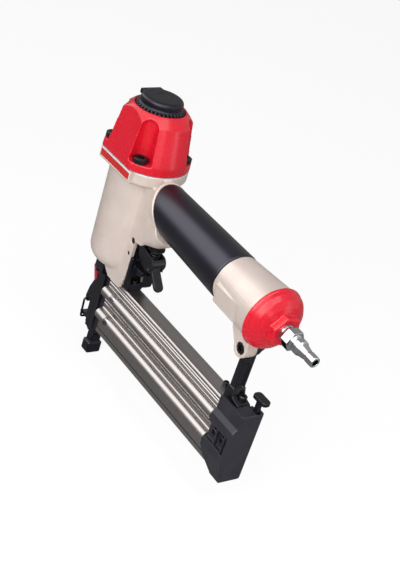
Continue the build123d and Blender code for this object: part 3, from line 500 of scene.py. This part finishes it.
# Plate on the flange
# A thin aluminium plate with round corners, glued on the left flat of the flange.
# It is screen-printed in plain red with a white border line.
low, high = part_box("label_plate")
CORNER_STEPS = 6
PLATE_CORNER = 0.0014
PLATE_BORDER = 0.0005
plate_mid = (low + high) / 2
plate_half = (high - low) / 2
plate = bmesh.new()
outline = []
for sx, sz, start in ((1, 1, 0), (-1, 1, 90), (-1, -1, 180), (1, -1, 270)):
    arc_x = plate_mid.x + sx * (plate_half.x - PLATE_CORNER)
    arc_z = plate_mid.z + sz * (plate_half.z - PLATE_CORNER)
    for step in range(CORNER_STEPS + 1):
        angle = math.radians(start + 90 * step / CORNER_STEPS)
        outline.append(
            (arc_x + PLATE_CORNER * math.cos(angle), high.y, arc_z + PLATE_CORNER * math.sin(angle))
        )
back_face = plate.faces.new([plate.verts.new(point) for point in outline])
front = bmesh.ops.extrude_face_region(plate, geom=[back_face])
front_verts = [v for v in front["geom"] if isinstance(v, bmesh.types.BMVert)]
bmesh.ops.translate(plate, verts=front_verts, vec=(0, low.y - high.y, 0))
# Screen ink is an even, slightly orange red with a low gloss. Its mesh marks are drawn coarser.
plate_print = finish(
    "screen_printed_plate", ("#D4211F", "#DA2624"), patch_mm=6, grain_mm=0.4, depth_mm=0.003,
    roughness=(0.28, 0.4), sockets={"Coat Weight": 0.2},
)
tree = plate_print.node_tree
spot = add(tree, "ShaderNodeTexCoord").outputs["Object"]
spot = add(tree, "ShaderNodeSeparateXYZ", {0: spot}).outputs
reach = []
for axis, middle, half in (("X", plate_mid.x, plate_half.x), ("Z", plate_mid.z, plate_half.z)):
    offset = add(tree, "ShaderNodeMath", {0: spot[axis], 1: middle}, operation="SUBTRACT")
    offset = add(tree, "ShaderNodeMath", {0: offset.outputs[0]}, operation="ABSOLUTE")
    past = add(
        tree, "ShaderNodeMath", {0: offset.outputs[0], 1: half - PLATE_BORDER},
        operation="GREATER_THAN",
    )
    reach.append(past.outputs[0])
in_border = add(tree, "ShaderNodeMath", {0: reach[0], 1: reach[1]}, operation="MAXIMUM")
border = add(
    tree, "ShaderNodeMix",
    {
        MIX_SHARE: in_border.outputs[0], MIX_UNDER: tree.nodes["Color Ramp"].outputs[0],
        MIX_OVER: linear("#EDEBE8"),
    },
    data_type="RGBA",
)
tree.links.new(border.outputs[MIX_RESULT], tree.nodes["Principled BSDF"].inputs["Base Color"])


def piece_from_faces(work, name, material, node):
    """Turns a mesh that was built face by face into a piece in place of a CAD node."""
    bmesh.ops.recalc_face_normals(work, faces=work.faces)
    mesh = bpy.data.meshes.new(name)
    work.to_mesh(mesh)
    work.free()
    mesh.materials.append(material)
    made = bpy.data.objects.new(name, mesh)
    bpy.context.scene.collection.objects.link(made)
    stand_for(made, node)


piece_from_faces(plate, "printed_plate", plate_print, "label_plate")

# Air inlet cap and air plug
# The cap is cast and enamelled like the cylinder cap, with a hexagon to turn it by.
# The plug is turned from steel bar, bright chrome plated, and screwed into the cap.
soft_copy("air_inlet_cap", "enamelled_inlet_cap", red_enamel, voxel_mm=0.4, passes=8)
# Chrome mirrors the room in hard black and white bands, with a slight waviness from polishing.
chrome = finish(
    "bright_chrome_plate", ("#B9BABD", "#C2C3C6"), patch_mm=8, grain_mm=1.5, depth_mm=0.002,
    roughness=(0.04, 0.09), sockets={"Metallic": 1.0},
)
soft_copy("air_plug", "chromed_plug", chrome, voxel_mm=0.2, passes=3)
dress(chrome, "tie_rods")

# Trigger valve and its spring
# A blackened steel valve body screwed into the casting, with a bright stem.
# A coil of black spring wire stands between it and the trigger.
# Black coating on steel is a semi-gloss blue black. Its edges are painted a little lighter, a
# painted highlight that partly stands for wear. Its grain of about 0.1 mm is drawn at 0.5 mm.
black_steel = finish(
    "black_coated_steel", ("#131218", "#18171E"), patch_mm=9, grain_mm=0.5, depth_mm=0.004,
    roughness=(0.28, 0.38), sockets={"Metallic": 0.1, "Specular IOR Level": 0.4},
    edge=("#4A4954", 0.5),
)
dress(black_oxide, "trigger_valve_body")
low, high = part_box("trigger_spring")
TRIGGER_WIRE = 0.0005
trigger_coil = coil_spring(
    "trigger_spring", "trigger_coil", black_oxide,
    radius=(high.x - low.x) / 2 - TRIGGER_WIRE, wire=TRIGGER_WIRE, turns=5.0, height=high.z - low.z,
    place=((low.x + high.x) / 2, 0, low.z + TRIGGER_WIRE),
)
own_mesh(trigger_coil)

# Trigger and safety lever
# Both are black coated steel. The trigger is cast with two cheeks round the spring.
# The lever is a round-ended tongue that hangs on its own pin below.
soft_copy("trigger", "cast_trigger", black_steel, voxel_mm=0.35, passes=4)
soft_copy("safety_lever", "safety_tongue", black_steel, voxel_mm=0.3, passes=4)
dress(black_oxide, "trigger_pin")

# Bracket behind the trigger
# A moulded nylon block that closes the tail of the casting and carries the magazine's front end.
# A cross pin and a small socket screw hold it.
soft_copy("trigger_bracket", "nylon_bracket", black_nylon, voxel_mm=0.4, passes=4)
dress(black_oxide, "bracket_pin")
BRACKET_SCREW_SEAT = (29.9, 0, 85.5)
screws(
    "bracket_screw", "bracket_socket_screw", [BRACKET_SCREW_SEAT],
    head_r=2.2, head_h=2.4, shank_r=1.6, shank_l=12,
)

# Driver guide
# The nose: a milled steel block with the channel for the blade, screwed to the housing from below.
# It is coated black like the trigger, and its milled edges and channel stay sharp.
dress(black_steel, "driver_guide")
NOSE_SCREW_SEATS = [(-8.8, y, 76.4) for y in (-7.4, 7.4)]
screws(
    "guide_screws", "nose_socket_screws", NOSE_SCREW_SEATS,
    head_r=2.4, head_h=3.2, shank_r=1.6, shank_l=14, turn=HEAD_DOWN,
)

# Soft tip
# A moulded rubber shoe, so that the nose doesn't mark the work.
# It is pushed over the neck of the nose and comes off by hand.
soft_copy("no_mar_tip", "rubber_tip", black_nylon, voxel_mm=0.3, passes=4)

# Jam-clearing door
# A pressed and hardened steel plate that closes the front of the nose.
# It turns on a hinge pin at its top, and is coated like the nose.
soft_copy("guide_door", "nose_door", black_steel, voxel_mm=0.3, passes=3)
dress(black_oxide, "door_pin", "latch_pin")

# Latch with its tab
# A bent steel lever on the door, with a wire bail that hooks under the nose.
# Its finger tab is dipped in red plastic.
soft_copy("latch_lever", "bent_latch", black_steel, voxel_mm=0.3, passes=3)
dress(black_oxide, "latch_bail")
# Dipped plastic is a soft pinkish red with a rounded gloss, its edges painted pinker as a painted
# highlight. Its faint grain is drawn coarser.
red_plastic = finish(
    "dipped_red_plastic", ("#CF2440", "#D93350"), patch_mm=5, grain_mm=0.5, depth_mm=0.01,
    roughness=(0.3, 0.42), sockets={"Specular IOR Level": 0.5}, edge=("#EE7489", 0.5),
)
soft_copy("latch_tab", "dipped_tab", red_plastic, voxel_mm=0.25, passes=4)

# Magazine channel, slide and tie rods
# Both halves of the magazine are aluminium extrusions, anodised gunmetal and sawn to length. A small
# chamfer breaks their long lips, and two chrome plated rods run through the slide's round ridges.
# Anodising keeps the metal's sheen under a warm grey, with straight lines from the die along each
# extrusion. The lines are about 0.1 mm wide, and are drawn at 0.8 mm.
gunmetal = finish(
    "gunmetal_anodising", ("#9D9896", "#A5A09E"), patch_mm=8, grain_mm=0.8, depth_mm=0.0006,
    roughness=(0.34, 0.38), sockets={"Metallic": 1.0}, stretch=(0.01, 1, 1),
)
EXTRUSION_FACE = -0.0074
ON_FACE = 1e-5
LOWEST_LIP = 0.04
SHORTEST_LIP = 0.02
STRAIGHT_SHARE = 0.99
LIP_CHAMFER = 0.00055
FLAT_ANGLE = math.radians(1)
LIP_ANGLE = math.radians(25)


def extrusion_copy(node, name):
    """A copy of one half of the magazine, with a chamfer on each long lip of its left face, down to
    the lowest one that catches the light."""
    made = merged_copy(node, name, flat_angle=FLAT_ANGLE)
    work = bmesh.new()
    work.from_mesh(made.data)
    lips = []
    for edge in work.edges:
        at_face = all(
            abs(end.co.y - EXTRUSION_FACE) < ON_FACE and end.co.z > LOWEST_LIP for end in edge.verts
        )
        along = abs(edge.verts[0].co.x - edge.verts[1].co.x)
        straight = along > SHORTEST_LIP and along > STRAIGHT_SHARE * edge.calc_length()
        if at_face and edge.is_convex and straight:
            lips.append(edge)
    bmesh.ops.bevel(work, geom=lips, offset=LIP_CHAMFER, segments=1, affect="EDGES")
    work.to_mesh(made.data)
    work.free()
    mesh = plain_mesh(made)
    mesh.set_sharp_from_angle(angle=LIP_ANGLE)
    mesh.materials.clear()
    mesh.materials.append(gunmetal)
    stand_for(made, node)


extrusion_copy("fixed_magazine", "fixed_extrusion")
extrusion_copy("magazine_slide", "sliding_extrusion")

# Nail pusher and its spring
# The pusher is a bent steel strip that follows the brads in the magazine.
# A flat spring, rolled up behind it, draws it forward.
low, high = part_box("pusher_spring")
ROLL_TURNS = 5
ROLL_STEPS = 120
ROLL_STRIP = 0.0001
ROLL_CORE = 0.4
roll_mid = (low + high) / 2
roll_outer = (high.x - low.x) / 2
roll_inner = ROLL_CORE * roll_outer
roll = bmesh.new()
rings = []
for step in range(ROLL_STEPS + 1):
    share = step / ROLL_STEPS
    angle = 2 * math.pi * ROLL_TURNS * share
    near = roll_inner + (roll_outer - ROLL_STRIP - roll_inner) * share
    far = near + ROLL_STRIP
    ring = []
    for reach_out, y in ((near, low.y), (far, low.y), (far, high.y), (near, high.y)):
        x = roll_mid.x + reach_out * math.cos(angle)
        z = roll_mid.z + reach_out * math.sin(angle)
        ring.append(roll.verts.new((x, y, z)))
    rings.append(ring)
for before, after in zip(rings, rings[1:]):
    for i in range(4):
        roll.faces.new((before[i], before[(i + 1) % 4], after[(i + 1) % 4], after[i]))
roll.faces.new(rings[0])
roll.faces.new(rings[-1])
piece_from_faces(roll, "rolled_strip", ground_steel, "pusher_spring")

# Magazine end cap and its screws
# A moulded nylon shoe that closes the rear of the slide.
# Two small socket screws hold it, each in a pocket of its own.
# Its nylon is drawn a softer, greyer black than the deflector's; the greyer black is painted light
# for the end cap's brighter sides, and its edges are painted lighter still as a painted highlight.
# The mould's grain of 0.1 mm is drawn at 0.45 mm.
nylon_painted_lighter = finish(
    "satin_black_nylon", ("#2E2D34", "#34333B"), patch_mm=12, grain_mm=0.45, depth_mm=0.006,
    roughness=(0.34, 0.44), sockets={"Specular IOR Level": 0.25}, edge=("#5A5964", 0.5),
)
soft_copy("magazine_end_cap", "nylon_end_cap", nylon_painted_lighter, voxel_mm=0.4, passes=3)
END_CAP_SCREW_SEATS = [(x, -9.6, 56.0) for x in (175.5, 185.2)]
screws(
    "end_cap_screws", "end_cap_socket_screws", END_CAP_SCREW_SEATS,
    head_r=2.7, head_h=1.8, shank_r=1.5, shank_l=5.1, turn=HEAD_LEFT,
)

# Release lever and its spring
# A pressed steel lever with a thumb piece, black coated, on a pin through the end cap.
# A small torsion coil turns it back.
soft_copy("release_lever", "release_thumb_lever", black_steel, voxel_mm=0.3, passes=4)
low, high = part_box("release_spring")
RELEASE_WIRE = 0.00035
ACROSS_THE_TOOL = (-math.pi / 2, 0.0, 0.0)
coil_spring(
    "release_spring", "release_coil", ground_steel,
    radius=(high.x - low.x) / 2 - RELEASE_WIRE, wire=RELEASE_WIRE, turns=2.0, height=high.y - low.y,
    place=((low.x + high.x) / 2, low.y + RELEASE_WIRE, (low.z + high.z) / 2), turn=ACROSS_THE_TOOL,
)

# Rear strut with its bolt and screws
# A pressed steel bar, black coated, that hangs the magazine's rear from the casting's lug.
# A socket bolt and a nut hold its top, and a screw its foot. Another screw stands before it.
soft_copy("rear_strut", "pressed_strut", black_steel, voxel_mm=0.4, passes=4)
dress(black_oxide, "strut_nut")
FOOT_SCREW_SEAT = (177.8, 2.2, 84.6)
MAGAZINE_SCREW_SEAT = (156.2, 4.1, 80.0)
STRUT_BOLT_SEAT = (170.2, -5.5, 125.1)
screws(
    "foot_screw", "strut_foot_screw", [FOOT_SCREW_SEAT],
    head_r=3.2, head_h=3.4, shank_r=2.0, shank_l=10,
)
screws(
    "magazine_screw", "magazine_top_screw", [MAGAZINE_SCREW_SEAT],
    head_r=2.3, head_h=3.6, shank_r=1.6, shank_l=7,
)
screws(
    "strut_bolt", "strut_socket_bolt", [STRUT_BOLT_SEAT],
    head_r=4.3, head_h=4.0, shank_r=2.5, shank_l=14.5, turn=HEAD_LEFT,
)

# Studio floor and room
# A large matt white floor that keeps a soft shadow, in a white room that is dimmer towards the front.
# Reflections show floor and room in shade, brighter to the rear, and a long white card overhead on
# the left, which draws the streak along the grip and the magazine.
FLOOR_HALF = 4.0
FLOOR_Z = -0.0006
FLOOR_GLOW = 0.80
FLOOR_WHITE = 1.1
FLOOR_FRONT, FLOOR_REAR = -0.25, 0.30
FLOOR_MIRRORED = (0.22, 0.30)
floor_mesh = bpy.data.meshes.new("studio_floor")
floor_corners = [
    (sx * FLOOR_HALF, sy * FLOOR_HALF, FLOOR_Z) for sx, sy in ((-1, -1), (1, -1), (1, 1), (-1, 1))
]
floor_mesh.from_pydata(floor_corners, [], [(0, 1, 2, 3)])
floor = bpy.data.objects.new("studio_floor", floor_mesh)
bpy.context.scene.collection.objects.link(floor)
matt_white = bpy.data.materials.new("matt_white_floor")
matt_white.use_nodes = True
tree = matt_white.node_tree
tree.nodes.clear()
rays = add(tree, "ShaderNodeLightPath").outputs
looked_at = add(
    tree, "ShaderNodeMath", {0: rays["Is Camera Ray"], 1: rays["Is Transmission Ray"]},
    operation="MAXIMUM",
)
glow_share = add(
    tree, "ShaderNodeMath", {0: looked_at.outputs[0], 1: FLOOR_GLOW}, operation="MULTIPLY"
)
paper = add(tree, "ShaderNodeBsdfDiffuse", {"Color": linear("#F0F0F0")})
glow = add(tree, "ShaderNodeEmission", {"Color": (1, 1, 1, 1), "Strength": FLOOR_WHITE})
seen_floor = add(
    tree, "ShaderNodeMixShader",
    {0: glow_share.outputs[0], 1: paper.outputs[0], 2: glow.outputs[0]},
)
TO_BRIGHT_SIDE = (1.0, 0.0, 0.0)
spot = add(tree, "ShaderNodeTexCoord").outputs["Object"]
across = add(
    tree, "ShaderNodeVectorMath", {0: spot, 1: TO_BRIGHT_SIDE}, operation="DOT_PRODUCT"
)
shade = add(
    tree, "ShaderNodeMapRange",
    {
        "Value": across.outputs["Value"], "From Min": FLOOR_FRONT, "From Max": FLOOR_REAR,
        "To Min": FLOOR_MIRRORED[0], "To Max": FLOOR_MIRRORED[1],
    },
)
mirrored = add(
    tree, "ShaderNodeEmission", {"Color": (1, 1, 1, 1), "Strength": shade.outputs[0]}
)
mixed = add(
    tree, "ShaderNodeMixShader",
    {0: rays["Is Glossy Ray"], 1: seen_floor.outputs[0], 2: mirrored.outputs[0]},
)
add(tree, "ShaderNodeOutputMaterial", {"Surface": mixed.outputs[0]})
floor_mesh.materials.append(matt_white)

ROOM_LIGHT = 0.37
ROOM_LIGHT_IN_FRONT = 0.05
ROOM_MIRRORED = (0.32, 1.00)
MIRRORED_FRONT, MIRRORED_REAR = -0.7, 0.8
DIM_FRONT, DIM_END = -0.9, 0.1
world = bpy.data.worlds.new("white_room")
bpy.context.scene.world = world
world.use_nodes = True
tree = world.node_tree
tree.nodes.clear()
rays = add(tree, "ShaderNodeLightPath").outputs
looked_at = add(
    tree, "ShaderNodeMath", {0: rays["Is Camera Ray"], 1: rays["Is Transmission Ray"]},
    operation="MAXIMUM",
)
way = add(tree, "ShaderNodeTexCoord").outputs["Generated"]
across = add(
    tree, "ShaderNodeVectorMath", {0: way, 1: TO_BRIGHT_SIDE}, operation="DOT_PRODUCT"
)
shade = add(
    tree, "ShaderNodeMapRange",
    {
        "Value": across.outputs["Value"], "From Min": MIRRORED_FRONT, "From Max": MIRRORED_REAR,
        "To Min": ROOM_MIRRORED[0], "To Max": ROOM_MIRRORED[1],
    },
)
TO_CARD = (0.0, -0.70, 0.71)
CARD_LIGHT = 2.6
CARD_EDGE, CARD_FULL = 0.70, 0.96
ROUND_THE_LENGTH = (0.0, 1.0, 1.0)
round_axis = add(
    tree, "ShaderNodeVectorMath", {0: way, 1: ROUND_THE_LENGTH}, operation="MULTIPLY"
)
round_axis = add(
    tree, "ShaderNodeVectorMath", {0: round_axis.outputs[0]}, operation="NORMALIZE"
)
toward_card = add(
    tree, "ShaderNodeVectorMath", {0: round_axis.outputs[0], 1: TO_CARD}, operation="DOT_PRODUCT"
)
card = add(
    tree, "ShaderNodeMapRange",
    {
        "Value": toward_card.outputs["Value"], "From Min": CARD_EDGE, "From Max": CARD_FULL,
        "To Min": 0.0, "To Max": CARD_LIGHT,
    },
    interpolation_type="SMOOTHSTEP",
)
shade = add(tree, "ShaderNodeMath", {0: shade.outputs[0], 1: card.outputs[0]}, operation="ADD")
dimmer_front = add(
    tree, "ShaderNodeMapRange",
    {
        "Value": across.outputs["Value"], "From Min": DIM_FRONT, "From Max": DIM_END,
        "To Min": ROOM_LIGHT_IN_FRONT, "To Max": ROOM_LIGHT,
    },
)
room = add(
    tree, "ShaderNodeBackground", {"Color": (1, 1, 1, 1), "Strength": dimmer_front.outputs[0]}
)
white = add(tree, "ShaderNodeBackground", {"Color": (1, 1, 1, 1), "Strength": 1.0})
mirrored = add(
    tree, "ShaderNodeBackground", {"Color": (1, 1, 1, 1), "Strength": shade.outputs[0]}
)
mixed = add(
    tree, "ShaderNodeMixShader",
    {0: looked_at.outputs[0], 1: room.outputs[0], 2: white.outputs[0]},
)
mixed = add(
    tree, "ShaderNodeMixShader",
    {0: rays["Is Glossy Ray"], 1: mixed.outputs[0], 2: mirrored.outputs[0]},
)
add(tree, "ShaderNodeOutputWorld", {"Surface": mixed.outputs[0]})


# Studio lamps
# A large soft box beside the camera lights the whole tool. A smaller one overhead lights the faces
# that look up, and a weak strip at the right rear draws a band on the red cap.
TOOL_MIDDLE = Vector((0.09, 0.0, 0.115))
LAMP_DISTANCE = 1.0


def soft_box(name, toward, width, height, power):
    """An area lamp that faces the middle of the tool from a direction."""
    lamp = bpy.data.lights.new(name, "AREA")
    lamp.shape = "RECTANGLE"
    lamp.size = width
    lamp.size_y = height
    lamp.energy = power
    made = bpy.data.objects.new(name, lamp)
    way = Vector(toward).normalized()
    made.location = TOOL_MIDDLE + way * LAMP_DISTANCE
    made.rotation_euler = way.to_track_quat("Z", "Y").to_euler()
    bpy.context.scene.collection.objects.link(made)


soft_box("camera_box", toward=(0.38, -0.74, 0.55), width=0.8, height=0.8, power=6.9)
soft_box("top_box", toward=(0.45, 0.0, 0.89), width=0.5, height=0.5, power=2.4)
soft_box("rear_strip", toward=(0.78, 0.60, 0.02), width=0.2, height=0.6, power=0.7)

# Camera
# Set where the photograph was taken from, behind, above and to the left of the tool, with the frame
# turned so that the tool leans to the left.
CAMERA_RIGHT = Vector((0.538016, 0.794782, 0.280820))
CAMERA_UP = Vector((-0.548383, 0.077011, 0.832673))
CAMERA_BACK = Vector((0.640168, -0.601988, 0.477279))
CAMERA_AT = Vector((0.63666, -0.50284, 0.52975))
SENSOR_MM = 36.0
LONG_SIDE_PX = 570
FOCAL_PX = 1156.92
lens = bpy.data.cameras.new("photo_camera")
lens.sensor_width = SENSOR_MM
lens.lens = FOCAL_PX * SENSOR_MM / LONG_SIDE_PX
lens.clip_start = 0.01
lens.clip_end = 50.0
photo_camera = bpy.data.objects.new("photo_camera", lens)
turn = Matrix((CAMERA_RIGHT, CAMERA_UP, CAMERA_BACK)).transposed().to_4x4()
photo_camera.matrix_world = Matrix.Translation(CAMERA_AT) @ turn
bpy.context.scene.collection.objects.link(photo_camera)
bpy.context.scene.camera = photo_camera
bpy.context.scene.view_settings.view_transform = "Standard"
